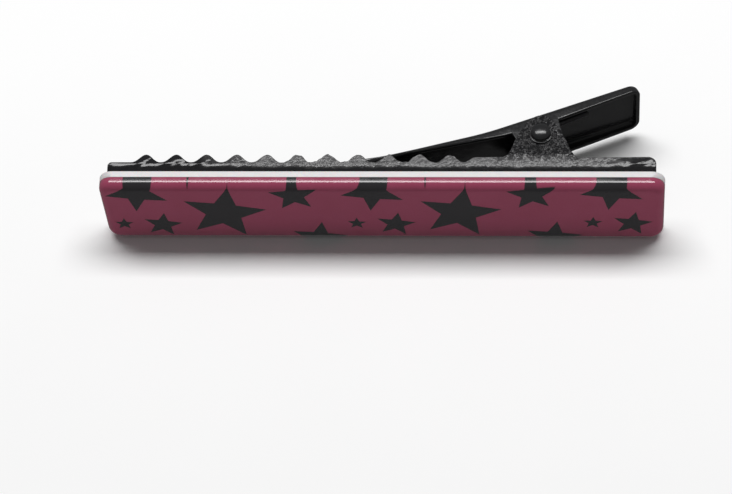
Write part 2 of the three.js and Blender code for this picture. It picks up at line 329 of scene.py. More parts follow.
def cast_enamel(name):
    """Thick enamel on the toothed jaw: coarse beads on the ears, fine grain on the wall, and
    slanting drips on the smooth tip and tail. Its colour also holds painted light: a grey on the wall that
    is partly the grain's own tone and partly painted sheen, painted glints on the ear's beads, and a
    painted highlight along the wall's top edge."""
    n = Surface(name)
    x, t, _ = n.on_clip()
    wander = n.math("MULTIPLY_ADD", n.noise(300), 2.0, -1.0)
    along = n.math("MULTIPLY_ADD", wander, 5.0, n.math("SUBTRACT", x, LEFT))
    from_tip = n.spread(along, *GRAIN_BEGINS)
    to_tail = n.spread(along, *GRAIN_ENDS, 1.0, 0.06)
    above_foot = n.spread(n.math("MULTIPLY_ADD", wander, 0.5, t), *GRAIN_ABOVE)
    grainy = n.product(from_tip, to_tail, above_foot)
    beads_here = n.product(n.spread(t, *BEADS_ABOVE), n.spread(along, *BEADS_BEGIN))
    on_ear = n.product(beads_here, n.spread(along, *BEADS_END, 1.0, 0.0))
    off_ear = n.math("SUBTRACT", 1.0, on_ear)

    grains = n.noise(1900, detail=2.5, roughness=0.55)
    pits = n.noise(4200)
    bead = n.spread(n.noise(1650, detail=1.5), 0.40, 0.60)
    drips = n.noise(520, detail=1.0, vector=n.slanted(32, 2.0, 0.7))

    fine_lumps = n.total(n.product(grains, 0.18), n.product(pits, 0.04))
    lumps = n.math("MULTIPLY_ADD", fine_lumps, off_ear, n.product(bead, 0.19, on_ear))
    grain_height = n.product(lumps, n.math("ADD", grainy, 0.04))
    smooth = n.math("SUBTRACT", 1.0, n.product(from_tip, to_tail))
    dripping = n.product(smooth, n.spread(t, *DRIPS_ABOVE, 0.15, 1.0))
    n.set(Normal=n.bump(n.math("MULTIPLY_ADD", n.product(drips, 0.34), dripping, grain_height)))

    # The grainy wall is lightened in its grains. This is partly the enamel's own grainy grey tone and
    # partly painted sheen, which stands in for light that the rough enamel scatters.
    grain_and_painted_sheen = n.product(n.spread(grains, 0.30, 0.66, 0.3, 1.0), n.math("MULTIPLY_ADD", grainy, 0.95, 0.05))
    # Painted glints: bright specks on the ear's beads, lightened in the base colour.
    painted_glint_specks = n.product(bead, n.spread(pits, 0.42, 0.55, 0.0, 0.5), on_ear)
    # Painted highlight: bright specks along the wall's top edge, where its rim catches the light, lightened
    # in the base colour.
    crest = n.product(n.spread(t, *PAINTED_HIGHLIGHT_CREST_ABOVE), n.spread(pits, 0.50, 0.58, 0.0, 1.6), from_tip, off_ear)
    grain_tone_and_painted_light = n.total(n.product(grain_and_painted_sheen, off_ear), painted_glint_specks, crest)
    # Near-black enamel, lightened by the grain's tone, the painted sheen, the painted glints and the
    # painted highlight along the top edge.
    n.set(Base_Color=n.mix(grain_tone_and_painted_light, (0.009, 0.009, 0.010), (0.125, 0.123, 0.125)))
    dull = n.product(grainy, pits, n.math("MULTIPLY_ADD", on_ear, -0.8, 1.0))
    n.set(Roughness=n.math("MULTIPLY_ADD", dull, 0.26, 0.11))
    n.set(Specular_IOR_Level=n.math("MULTIPLY_ADD", on_ear, -0.10, 0.42))
    return n.material


def white_plastic():
    n = Surface("white_plastic")
    cloud = n.noise(900, detail=3.0)
    fine = n.noise(5200)
    n.set(Base_Color=n.mix(cloud, (0.62, 0.60, 0.61), (0.70, 0.69, 0.69)))
    n.set(Roughness=n.spread(fine, 0.3, 0.7, 0.32, 0.5))
    n.set(Subsurface_Weight=0.15, Subsurface_Scale=0.6 * MM)
    n.set(Normal=n.bump(fine, 0.25, 0.02 * MM))
    return n.material


def cured_glue():
    n = Surface("cured_glue")
    cloud = n.noise(700, detail=3.0)
    n.set(Base_Color=n.mix(cloud, (0.50, 0.48, 0.42), (0.72, 0.70, 0.62)))
    n.set(Roughness=n.spread(cloud, 0.3, 0.7, 0.25, 0.5))
    n.set(Normal=n.bump(cloud, 0.4, 0.1 * MM))
    return n.material


def spring_wire():
    n = Surface("spring_wire")
    drawn = n.noise(2600, detail=3.0, roughness=0.6)
    n.set(Base_Color=n.mix(drawn, (0.02, 0.02, 0.022), (0.05, 0.05, 0.052)))
    n.set(Roughness=n.spread(drawn, 0.3, 0.7, 0.28, 0.48))
    n.set(Metallic=0.5)
    n.set(Normal=n.bump(drawn, 0.3, 0.03 * MM))
    return n.material


# ---------- the print ----------

# Each star is (along from the jaw end, across from the middle, tip radius, turn), in millimetres and
# degrees clockwise. REPEATED_STARS come again along the film, a little higher each time.
PRINT_REPEAT = 32.47
PRINT_REPEATS = 3
PRINT_DRIFT = 0.25
REPEATED_STARS = (
    (5.35, 4.95, 4.5, 187),
    (2.7, -2.6, 1.37, 3),
    (8.1, -2.75, 2.8, 9.5),
    (26.9, 4.25, 3.5, -5),
    (29.8, -6.05, 4.0, 7.5),
)
SINGLE_STARS = (
    (12.5, 8.05, 2.4, 180),
    (45.0, 8.12, 2.4, 180),
    (16.95, 0.1, 6.0, 10),
    (49.42, 0.25, 5.87, 10),
)
PRINT_EDGE = 0.6
PRINT_STRETCH = 0.5
PRINT_RAGGED = 0.09
PRINT_BLEED = 0.04
STAR_ARMS = 5
STAR_WAIST = 0.43


def star_group():
    """A node group: how far a point is inside a five-pointed star's edge, below 0 outside it."""
    group = bpy.data.node_groups.new("five_pointed_star", "ShaderNodeTree")
    for label in ("X", "W", "Centre X", "Centre W", "Radius", "Turn"):
        group.interface.new_socket(label, in_out="INPUT", socket_type="NodeSocketFloat")
    group.interface.new_socket("Inside", in_out="OUTPUT", socket_type="NodeSocketFloat")
    inputs = group.nodes.new("NodeGroupInput").outputs
    output = group.nodes.new("NodeGroupOutput").inputs
    g = Graph(group)
    dx = g.math("SUBTRACT", inputs["X"], inputs["Centre X"])
    dw = g.math("SUBTRACT", inputs["W"], inputs["Centre W"])
    reach = g.math("SQRT", g.math("MULTIPLY_ADD", dx, dx, g.math("MULTIPLY", dw, dw)))
    heading = g.math("SUBTRACT", g.math("ARCTAN2", dx, dw), inputs["Turn"])
    arm = 2 * math.pi / STAR_ARMS
    wrapped = g.math("FLOORED_MODULO", g.math("ADD", heading, arm / 2), arm)
    folded = g.math("ABSOLUTE", g.math("SUBTRACT", wrapped, arm / 2))
    waist_along = STAR_WAIST * math.cos(arm / 2)
    waist_across = STAR_WAIST * math.sin(arm / 2)
    tip_angle = math.atan2(waist_across, 1 - waist_along)
    edge = g.math("MULTIPLY", reach, g.math("SINE", g.math("ADD", folded, tip_angle)))
    limit = g.math("MULTIPLY", inputs["Radius"], math.sin(tip_angle))
    g.join(g.math("SUBTRACT", limit, edge), output["Inside"])
    return group


def stretched(n, value, half):
    """A print coordinate that runs slower near a half-length's end, where the film was drawn over."""
    flat_half = half - PRINT_EDGE
    over = n.math("MAXIMUM", n.math("SUBTRACT", value, flat_half), 0.0)
    under = n.math("MINIMUM", n.math("ADD", value, flat_half), 0.0)
    return n.math("MULTIPLY_ADD", n.math("ADD", over, under), -PRINT_STRETCH, value)


def printed_stars():
    """Every star on the film as (along, across, tip radius, turn)."""
    stars = list(SINGLE_STARS)
    for repeat in range(PRINT_REPEATS):
        for along, across, radius, turn in REPEATED_STARS:
            centre = along + repeat * PRINT_REPEAT
            if centre - radius < BAR_LENGTH:
                stars.append((centre, across + repeat * PRINT_DRIFT, radius, turn))
    return stars


def star_ink(n):
    """How far the surface point is inside the nearest star's edge, below 0 outside every star."""
    group = star_group()
    x, _, w = n.on_clip()
    x = n.math("SUBTRACT", stretched(n, x, BAR_LENGTH / 2), LEFT)
    w = stretched(n, w, BAR_WIDTH / 2)
    ink = None
    for along, across, radius, turn in printed_stars():
        star = n.add("ShaderNodeGroup", node_tree=group)
        settings = {"X": x, "W": w, "Centre X": along, "Centre W": across}
        settings |= {"Radius": radius, "Turn": math.radians(turn)}
        for label, value in settings.items():
            n.feed(star.inputs[label], value)
        inside = star.outputs["Inside"]
        ink = inside if ink is None else n.math("MAXIMUM", ink, inside)
    return ink


def printed_film():
    """Glossy film with a rose ground and black stars, whose edges run straight down the bar's sides."""
    n = Surface("printed_film")
    ragged = n.product(n.math("SUBTRACT", n.noise(3200), 0.5), PRINT_RAGGED)
    covered = n.spread(n.math("ADD", star_ink(n), ragged), -PRINT_BLEED, PRINT_BLEED)
    cloud = n.noise(260, detail=3.0)
    dots = n.noise(6500, detail=1.0)
    rose = n.mix(cloud, (0.300, 0.050, 0.100), (0.345, 0.062, 0.122))
    rose = n.mix(n.spread(dots, 0.3, 0.7, 0.0, 0.25), rose, (0.26, 0.040, 0.085))
    black = n.mix(cloud, (0.020, 0.019, 0.021), (0.027, 0.025, 0.028))
    n.set(Base_Color=n.mix(covered, rose, black))
    n.set(Roughness=n.spread(n.noise(420, detail=3.0), 0.3, 0.7, 0.10, 0.17))
    n.set(Specular_IOR_Level=0.5, Coat_Weight=0.35, Coat_Roughness=0.06)
    waves = n.product(n.noise(180), 0.05)
    n.set(Normal=n.bump(n.math("MULTIPLY_ADD", covered, 0.004, waves), 0.6))
    return n.material


# ---------- bar ----------

FACE_SUPPORT = 0.6
FILM_SUPPORT = 0.7
LEDGE_ROUNDING = 0.04
FILM_LIP = 0.03
CORE_FILLET_STEPS = 10
FILM_FILLET_STEPS = 14


def bar_rings(profile, points):
    """Adds a rounded outline to points for each (inset, t) of a profile, and returns the rings.

    The sides lean in by the draft towards the bar's face.
    """
    rings = []
    for inset, t in profile:
        side = inset - BAR_DRAFT * t
        corner = max(BAR_CORNER - inset, 0.05)
        outline = rounded_outline(BAR_LENGTH / 2 - side, BAR_WIDTH / 2 - side, corner)
        rings.append(add_ring(points, [place(x, t, w) for x, w in outline]))
    return rings


def front_fillet(inset, steps):
    """The bar's rounded front edge, drawn in by an inset, as (inset, t) points ending on its face."""
    radius = BAR_FILLET - inset
    start = BAR_FILLET - BAR_THICKNESS
    bends = [math.pi / 2 * k / steps for k in range(steps + 1)]
    return [(inset + radius * (1 - math.cos(a)), start - radius * math.sin(a)) for a in bends]


def with_face_ring(profile, support):
    """The profile and a last ring on the bar's face, which keeps the face's shading flat."""
    inset, t = profile[-1]
    return [*profile, (inset + support, t)]


def make_bar_core(material):
    points = []
    r = BARE_ROUNDING
    bends = (0, 0.4, 0.8, 1.2, math.pi / 2)
    back = [(r * (1 - math.sin(a)), -r * (1 - math.cos(a))) for a in bends]
    step = FILM + FILM_GAP
    ledge = [(0.0, LEDGE_ROUNDING - BARE_EDGE), (LEDGE_ROUNDING, -BARE_EDGE), (step, -BARE_EDGE)]
    front = with_face_ring(front_fillet(step, CORE_FILLET_STEPS), FACE_SUPPORT)
    profile = [(r + FACE_SUPPORT, 0.0), *back, *ledge, *front]
    return add_piece("bar_core_body", points, capped(bar_rings(profile, points)), material)


def make_film(material):
    points = []
    edge = -BARE_EDGE - FILM_GAP
    lip = [(FILM_LIP, edge), (0.0, edge - FILM_LIP)]
    outer = with_face_ring([*lip, *front_fillet(0.0, FILM_FILLET_STEPS)], FILM_SUPPORT)
    inner = with_face_ring([(FILM, edge), *front_fillet(FILM, CORE_FILLET_STEPS)], FILM_SUPPORT)
    outside = bar_rings(outer, points)
    inside = bar_rings(inner, points)
    faces = ring_faces(outside) + [tuple(outside[-1])]
    faces += ring_faces(inside) + [tuple(inside[-1])]
    faces += ring_faces([inside[0], outside[0]])
    return add_piece("printed_film_skin", points, faces, material)


GLUE_HALF_LENGTH = 35.0
GLUE_HALF_WIDTH = 3.8
GLUE_CORNER = 1.4
GLUE_FROM = 0.03
GLUE_TO = 0.22
GLUE_BULGE = 0.12
GLUE_UNEVEN = 0.18


def make_adhesive(material):
    """A squeezed bead: a flat pad with an uneven rounded edge."""
    outline = rounded_outline(GLUE_HALF_LENGTH, GLUE_HALF_WIDTH, GLUE_CORNER, 6, 60)
    points = []
    rings = []
    for share in (0.0, 0.25, 0.5, 0.75, 1.0):
        ring = []
        for x, w in outline:
            uneven = GLUE_UNEVEN * noise.noise(Vector((x * 0.35, w * 0.4, 3.1)))
            grow = GLUE_BULGE * math.sin(math.pi * share) + uneven
            scale = 1 + grow / max(math.hypot(x * 0.1, w), 1.0)
            ring.append(place(x, GLUE_FROM + (GLUE_TO - GLUE_FROM) * share, w * scale))
        rings.append(add_ring(points, ring))
    return add_piece("adhesive_bead", points, capped(rings), material)


# ---------- base jaw ----------

FLOOR_HALF = BASE_WIDTH / 2 - BASE_BEND
MIDDLE_BEND = BASE_BEND - SHEET / 2
BEND_LENGTH = MIDDLE_BEND * math.pi / 2
WALL_FOOT = FLOOR_HALF + BEND_LENGTH
BEND_STEPS = 6
TOOTH_SAMPLES = 14
EAR_SAMPLES = 36
EAR_FOOT_SAMPLES = 6
EAR_FLARE = 0.25
EAR_FLARE_CURVE = 1.8
LUMPS_BEGIN = (19.0, 30.0)
LUMPS_END = (68.0, 72.0)
WALL_LUMPS = 0.26
EAR_LUMPS = 0.05


def bend_channel(a, s, n):
    """A point of the flat blank, bent into the channel: a along, s across, n out of the sheet."""
    reach = abs(s)
    if reach <= FLOOR_HALF:
        return place(a, BASE_BACK + SHEET / 2 - n, s)
    if reach <= WALL_FOOT:
        angle = (reach - FLOOR_HALF) / MIDDLE_BEND
        radius = MIDDLE_BEND + n
        t = BASE_BACK + BASE_BEND - radius * math.cos(angle)
        w = FLOOR_HALF + radius * math.sin(angle)
    else:
        t = BASE_BACK + BASE_BEND + reach - WALL_FOOT
        w = FLOOR_HALF + MIDDLE_BEND + n
    return place(a, t, math.copysign(w, s))


def blank_reach(height):
    """How far out on the flat blank a height on the bent wall lies."""
    return WALL_FOOT + height - BASE_BACK - BASE_BEND


def tooth_height(along):
    phase = (along - FIRST_TOOTH) / TOOTH_PITCH * 2 * math.pi
    crest = (1 + math.cos(phase)) / 2
    return TOOTH_VALLEY + (TOOTH_TOP - TOOTH_VALLEY) * crest ** TOOTH_SHARPNESS


def ear_edge():
    """The ear's arch: a parabola that peaks above the pin, and curves out into the wall at its feet."""
    shoulder_half = EAR_HALF_AT_PIN * math.sqrt(1 + (pivot_t - EAR_SHOULDER_HEIGHT) / EAR_ABOVE_PIN)
    foot_half = EAR_FOOT_HALF + EAR_FLARE
    foot = []
    for k in range(EAR_FOOT_SAMPLES):
        share = k / EAR_FOOT_SAMPLES
        half = foot_half - (foot_half - shoulder_half) * share
        foot.append((half, WALL_TOP + (EAR_SHOULDER_HEIGHT - WALL_TOP) * share ** EAR_FLARE_CURVE))
    arch = []
    for k in range(EAR_SAMPLES + 1):
        off = -shoulder_half * math.cos(math.pi * k / EAR_SAMPLES)
        arch.append((pivot_x + off, pivot_t + EAR_ABOVE_PIN * (1 - (off / EAR_HALF_AT_PIN) ** 2)))
    rising = [(pivot_x - half, t) for half, t in foot]
    falling = [(pivot_x + half, t) for half, t in reversed(foot)]
    return rising + arch + falling


def enamel_lump(x):
    """How far the thick enamel stands up on the wall's edge at x."""
    along = x - LEFT
    fade = smoothstep(*LUMPS_BEGIN, along) * (1 - smoothstep(*LUMPS_END, along))
    depth = EAR_LUMPS if abs(x - pivot_x) < EAR_FOOT_HALF else WALL_LUMPS
    return depth * fade * noise.noise(Vector((x * 2.3, 0.4, 7.7)))


def wall_edge():
    """The wall's top edge from tip to tail, as (x, t) points."""
    left = LEFT + BASE_START
    right = LEFT + BASE_END
    corner = WALL_CORNER / 2
    points = arc(left + corner, TOOTH_VALLEY - corner, corner, 180, 90, 8)
    start = FIRST_TOOTH - TOOTH_PITCH / 2
    for i in range(TOOTH_COUNT * TOOTH_SAMPLES + 1):
        along = start + i * TOOTH_PITCH / TOOTH_SAMPLES
        points.append((LEFT + along, tooth_height(along)))
    last = LEFT + start + TOOTH_COUNT * TOOTH_PITCH
    rise = ((0.12, TOOTH_VALLEY + 0.25), (0.22, WALL_TOP - 0.12), (0.32, WALL_TOP))
    points += [(last + TOOTH_PITCH * share, t) for share, t in rise]
    points += ear_edge()
    points += arc(right - WALL_CORNER, WALL_TOP - WALL_CORNER, WALL_CORNER, 90, 0, 10)
    return [(x, t + enamel_lump(x)) for x, t in points]


def turned_in(points, index, amount):
    """The boundary point moved into the material by amount, and its outward direction."""
    before = Vector(points[index - 1])
    here = Vector(points[index])
    after = Vector(points[(index + 1) % len(points)])
    first = (here - before).normalized()
    second = (after - here).normalized()
    outward = Vector((first.y + second.y, -first.x - second.x))
    outward.normalize()
    cosine = max(outward.x * first.y - outward.y * first.x, 0.5)
    return here - outward * amount / cosine, outward / cosine


def flat_blank(outline):
    """The blank's flat inside the rounded rim, as a bmesh that is cut where it will bend."""
    flat = bmesh.new()
    for index in range(len(outline)):
        inner, _ = turned_in(outline, index, EDGE_ROUND)
        flat.verts.new((inner.x, inner.y, 0.0))
    flat.verts.ensure_lookup_table()
    for index in range(len(outline)):
        flat.edges.new((flat.verts[index], flat.verts[(index + 1) % len(outline)]))
    bmesh.ops.triangle_fill(flat, edges=flat.edges[:], use_beauty=True, use_dissolve=False)
    cuts = [FLOOR_HALF + BEND_LENGTH * k / BEND_STEPS for k in range(BEND_STEPS + 1)]
    for cut in [*cuts, *[-c for c in cuts]]:
        every = flat.verts[:] + flat.edges[:] + flat.faces[:]
        bmesh.ops.bisect_plane(flat, geom=every, plane_co=(0, cut, 0), plane_no=(0, 1, 0), dist=1e-5)
    for face in flat.faces:
        if face.normal.z < 0:
            face.normal_flip()
    flat.verts.index_update()
    return flat


def boundary_order(flat):
    """The numbers of the boundary's points, in order around it."""
    following = {}
    for edge in flat.edges:
        if edge.is_boundary:
            loop = edge.link_loops[0]
            following[loop.vert.index] = loop.link_loop_next.vert.index
    order = [next(iter(following))]
    while following[order[-1]] != order[0]:
        order.append(following[order[-1]])
    return order


def make_base_jaw(material):
    edge = [(x, blank_reach(t)) for x, t in wall_edge()]
    flat = flat_blank([(x, -s) for x, s in edge] + [(x, s) for x, s in reversed(edge)])
    sheet = [v.co.xy.copy() for v in flat.verts]
    panes = [tuple(v.index for v in f.verts) for f in flat.faces]
    order = boundary_order(flat)
    flat.free()
    half = SHEET / 2
    points = [bend_channel(p.x, p.y, half) for p in sheet]
    inside = len(points)
    points += [bend_channel(p.x, p.y, -half) for p in sheet]
    faces = panes + [tuple(i + inside for i in reversed(pane)) for pane in panes]
    boundary = [tuple(sheet[i]) for i in order]
    outward = [turned_in(boundary, i, 0)[1] for i in range(len(order))]
    rings = [order]
    for k in range(1, 8):
        lift, grow = rounded_rim(half, k)
        rim = [bend_channel(a + out.x * grow, s + out.y * grow, lift)
               for (a, s), out in zip(boundary, outward)]
        rings.append(add_ring(points, rim))
    rings.append([i + inside for i in order])
    faces += ring_faces(rings)
    return add_piece("base_jaw_channel", points, faces, material)


# ---------- lever jaw ----------

TIP_ALONG = 2.2
TIP_HEIGHT = 1.52
TIP_HALF = 3.4
TIP_CORNER = 1.6
TAIL_CORNER = 1.4
# Each straight run of the lever: its length before the bends, and its slope in degrees.
RUNS = ((31.75, 2.2), (19.75, 16.0), (22.3, 22.1))
LEVER_BEND = 45.0
TAPER_END = 37.7
LOBE_RADIUS = 3.1
LOBE_HALF = 3.3
FLANGE_BEND = 0.5
FLANGE_CURLS = (-27.0, -16.0)
FLANGE_SPLAY = 4.0
FLANGE_BEND_STEPS = 6
FLAT_EDGE_DEPTH = 0.6
FLAT_EDGE_LEAD = 0.3
LEAST_FLANGE = 0.06
ENAMEL_POOL = 0.4
# How deep the flange is at distances from the pin along the lever, towards the tail.
FLANGE_DEPTHS = (
    (-25.0, 0.62), (-19.5, 0.75), (-16.0, 0.95), (-11.5, 1.16), (-8.0, 1.35), (-5.6, 1.58), (-4.3, 1.75),
    (-3.3, 1.8), (3.3, 1.95), (7.0, 1.85), (12.0, 1.65), (16.5, 1.45), (40.0, 1.45),
)


def lever_segments():
    """The lever's outer line as (length, start angle, end angle) segments: runs and bends in turn."""
    angles = [math.radians(angle) for _, angle in RUNS]
    trims = [LEVER_BEND * math.tan((b - a) / 2) for a, b in zip(angles, angles[1:])]
    segments = []
    for index, (run, _) in enumerate(RUNS):
        before = trims[index - 1] if index else 0
        after = trims[index] if index < len(trims) else 0
        segments.append((run - before - after, angles[index], angles[index]))
        if after:
            bend = angles[index + 1] - angles[index]
            segments.append((LEVER_BEND * bend, angles[index], angles[index + 1]))
    return segments


SEGMENTS = lever_segments()
LEVER_LENGTH = sum(length for length, _, _ in SEGMENTS)


def lever_line(s):
    """(x, t, angle) at distance s from the tip along the lever's outer face."""
    x = LEFT + TIP_ALONG
    t = TIP_HEIGHT
    for index, (length, start, end) in enumerate(SEGMENTS):
        last = index == len(SEGMENTS) - 1
        part = s if last else min(s, length)
        angle = start + (end - start) * part / length
        if end == start:
            x += part * math.cos(start)
            t += part * math.sin(start)
        else:
            x += LEVER_BEND * (math.sin(angle) - math.sin(start))
            t += LEVER_BEND * (math.cos(start) - math.cos(angle))
        s -= part
        if s <= 0:
            break
    return x, t, angle


def on_lever(s, depth, w):
    x, t, angle = lever_line(s)
    return place(x + depth * math.sin(angle), t - depth * math.cos(angle), w)


def pivot_on_lever():
    """The pin's distance along the lever and its depth below the outer face."""
    x, t, angle = lever_line(LEVER_LENGTH)
    dx, dt = pivot_x - x, pivot_t - t
    along = dx * math.cos(angle) + dt * math.sin(angle)
    below = dx * math.sin(angle) - dt * math.cos(angle)
    return LEVER_LENGTH + along, below


PIN_S, PIN_DEPTH = pivot_on_lever()


def flange_depth(s):
    """How deep the lever's side goes at distance s along it: shallow flanges and a deep round lobe."""
    off = s - PIN_S
    depth = FLANGE_DEPTHS[0][1]
    for (a, da), (b, db) in zip(FLANGE_DEPTHS, FLANGE_DEPTHS[1:]):
        if a <= off <= b:
            depth = da + (db - da) * (off - a) / (b - a)
    if abs(off) < LOBE_RADIUS:
        return max(depth, PIN_DEPTH + math.sqrt(LOBE_RADIUS ** 2 - off ** 2))
    if abs(off) < LOBE_HALF:
        share = (abs(off) - LOBE_RADIUS) / (LOBE_HALF - LOBE_RADIUS)
        return max(depth, PIN_DEPTH * (1 - share) + depth * share)
    return depth


def lever_half_width(s):
    share = min(s / (TAPER_END - TIP_ALONG), 1.0)
    return TIP_HALF + (LEVER_WIDTH / 2 - TIP_HALF) * share


def tip_plan():
    """The lever's plan edge from the tip's middle round its corner, as (s, w) points."""
    flat = TIP_HALF - TIP_CORNER
    straight = [(0.0, flat * k / 3) for k in range(3)]
    return straight + arc(TIP_CORNER, flat, TIP_CORNER, 180, 90, 8)


def tail_plan():
    """The lever's plan edge round the tail's corner to the tail's middle, as (s, w) points."""
    flat = LEVER_WIDTH / 2 - TAIL_CORNER
    straight = [(LEVER_LENGTH, flat * (1 - k / 5)) for k in range(1, 6)]
    return arc(LEVER_LENGTH - TAIL_CORNER, flat, TAIL_CORNER, 90, 0, 10) + straight


def side_plan():
    """The lever's plan edge between its corners, with closer points at the lobe."""
    points = []
    s = TIP_CORNER + 0.6
    while s < LEVER_LENGTH - TAIL_CORNER - 0.3:
        points.append((s, lever_half_width(s)))
        s += 0.18 if abs(s - PIN_S) < LOBE_HALF + 1.2 else 0.6
    return points


def lever_section(depth, curl, splay):
    """The sheet's edge as (inset, depth) points: its outer side, rim and inner side.

    curl is how far the edge is bent over, from 0 for a flat edge to 1 for a full flange. Enamel
    pools in the inner corner and makes its radius larger than the sheet's own.
    """
    turn = curl * math.radians(90 - splay)
    half = SHEET / 2
    along = Vector((math.cos(turn), math.sin(turn)))
    out = Vector((math.sin(turn), -math.cos(turn)))
    lead = FLAT_EDGE_LEAD * (1 - curl)
    flange = max(depth - FLANGE_BEND - half, LEAST_FLANGE)
    straight = flange * curl + LEAST_FLANGE * (1 - curl) + lead
    bends = [turn * k / FLANGE_BEND_STEPS for k in range(FLANGE_BEND_STEPS + 1)]
    shares = (0.25, 0.5, 0.75)

    def bent(centre, radius):
        return [centre + Vector((radius * math.sin(a), -radius * math.cos(a))) for a in bends]

    bend_centre = Vector((0.0, half + FLANGE_BEND))
    bend_end = bent(bend_centre, FLANGE_BEND)[-1]
    end = bend_end + along * straight
    outer = bent(bend_centre, FLANGE_BEND + half)
    outer += [bend_end + out * half + along * straight * share for share in shares]
    pool = min(ENAMEL_POOL, straight / 2) * curl
    inner = bent(bend_centre + Vector((-pool * math.tan(turn / 2), pool)), FLANGE_BEND - half + pool)
    inner += [inner[-1].lerp(end - out * half, share) for share in shares]
    rim = []
    for k in range(9):
        lift, grow = rounded_rim(half, k)
        rim.append(end + out * lift + along * (grow - EDGE_ROUND))
    reach = bend_end.x + half * math.sin(turn) + lead * math.cos(turn)
    return [(reach - point.x, point.y) for point in outer + rim + inner[::-1]]


def lever_ring(loop, index, points):
    """Adds the edge's section at one point of the lever's plan, and returns its point numbers."""
    s, w = loop[index]
    before = Vector(loop[index - 1])
    after = Vector(loop[(index + 1) % len(loop)])
    along = (after - before).normalized()
    off = s - PIN_S
    curl = smoothstep(*FLANGE_CURLS, off)
    depth = flange_depth(s) if curl > 0 else FLAT_EDGE_DEPTH
    splay = FLANGE_SPLAY * smoothstep(LOBE_HALF + 0.4, LOBE_HALF + 5.0, abs(off))
    section = lever_section(depth, curl, splay)
    return add_ring(points, [on_lever(s + along.y * inset, d, w - along.x * inset) for inset, d in section])


def strip_faces(near, far, tip_count, tail_count):
    """Faces of the lever's outer or inner side, between the points along its near and far edges."""
    half = len(near)
    faces = [tuple(near[:tip_count] + far[tip_count - 1:0:-1])]
    for i in range(tip_count - 1, half - tail_count):
        faces.append((near[i], near[i + 1], far[i + 1], far[i]))
    start = half - tail_count
    faces.append(tuple(near[start:] + far[start:half - 1][::-1]))
    return faces


def make_lever_jaw(material):
    tip, tail = tip_plan(), tail_plan()
    side = tip + side_plan() + tail
    loop = side + [(s, -w) for s, w in reversed(side[1:-1])]
    points = []
    sections = [lever_ring(loop, index, points) for index in range(len(loop))]
    faces = []
    for here, there in zip(sections, sections[1:] + sections[:1]):
        faces += list(zip(here, here[1:], there[1:], there))
    for layer in (0, -1):
        edge = [section[layer] for section in sections]
        near = edge[:len(side)]
        far = [edge[-i] for i in range(len(side))]
        faces += strip_faces(near, far, len(tip), len(tail))
    return add_piece("lever_jaw_strip", points, faces, material)


# ---------- pivot pin ----------

LIP_MIDDLE = 1.42
LIP_RADIUS = 0.2
LIP_HALF_HEIGHT = 0.1
DOME_RADIUS = 1.36
DOME_FOOT = 0.19
DOME_WALL = 0.35
DOME_RISE = 0.62
PIN_SIDES = 48


def head_profile():
    """One end of the pin as (radius, w) points: shaft, rolled lip, and a dome up to its top."""
    face = BASE_WIDTH / 2 + PIN_FIT
    profile = [(PIN_RADIUS, 0.0), (PIN_RADIUS, face - 0.9), (PIN_RADIUS, face)]
    for k in range(1, 8):
        a = math.pi * k / 8
        w = face + LIP_HALF_HEIGHT * (1 - math.cos(a))
        profile.append((LIP_MIDDLE + LIP_RADIUS * math.sin(a), w))
    profile.append((LIP_MIDDLE + 0.02, face + DOME_FOOT - 0.02))
    profile.append((DOME_RADIUS, face + DOME_FOOT))
    for k in range(11):
        a = math.pi / 2 * k / 10
        profile.append((DOME_RADIUS * math.cos(a), face + DOME_FOOT + DOME_WALL + DOME_RISE * math.sin(a)))
    return profile


def make_pin(material):
    profile = head_profile()
    whole = [(r, -w) for r, w in reversed(profile[1:])] + profile
    turns = [2 * math.pi * k / PIN_SIDES for k in range(PIN_SIDES)]
    points = []
    rings = []
    for radius, w in whole[1:-1]:
        ring = [place(pivot_x + radius * math.cos(a), pivot_t + radius * math.sin(a), w) for a in turns]
        rings.append(add_ring(points, ring))
    faces = ring_faces(rings)
    for (_, w), ring in ((whole[0], rings[0]), (whole[-1], rings[-1])):
        apex = add_ring(points, [place(pivot_x, pivot_t, w)])[0]
        faces += [(ring[k], ring[(k + 1) % PIN_SIDES], apex) for k in range(PIN_SIDES)]
    return add_piece("rivet_pin", points, faces, material)


# ---------- torsion spring ----------

COIL_RADIUS = 1.85
COIL_PITCH = 0.95
COIL_STEPS = 200
WHOLE_TURNS = 6
LOWER_LEG_ANGLE = -21.0
LOWER_LEG_END = 71.7
UPPER_LEG_ANGLE = 26.6
UPPER_LEG_LENGTH = 8.0
SPRING_GAP = 0.06
WIRE_SIDES = 14
WIRE_END_RADIUS = WIRE_RADIUS * 0.82


def soft_knee(knee, floor_end, first):
    """The lower leg's bend, from lying on the floor to climbing to the coil."""
    soft = []
    for k in range(7):
        share = k / 6
        lying = knee.lerp(floor_end, 0.25 * (1 - share))
        climbing = knee.lerp(first, 0.15 * share)
        soft.append(lying.lerp(climbing, share))
    return soft


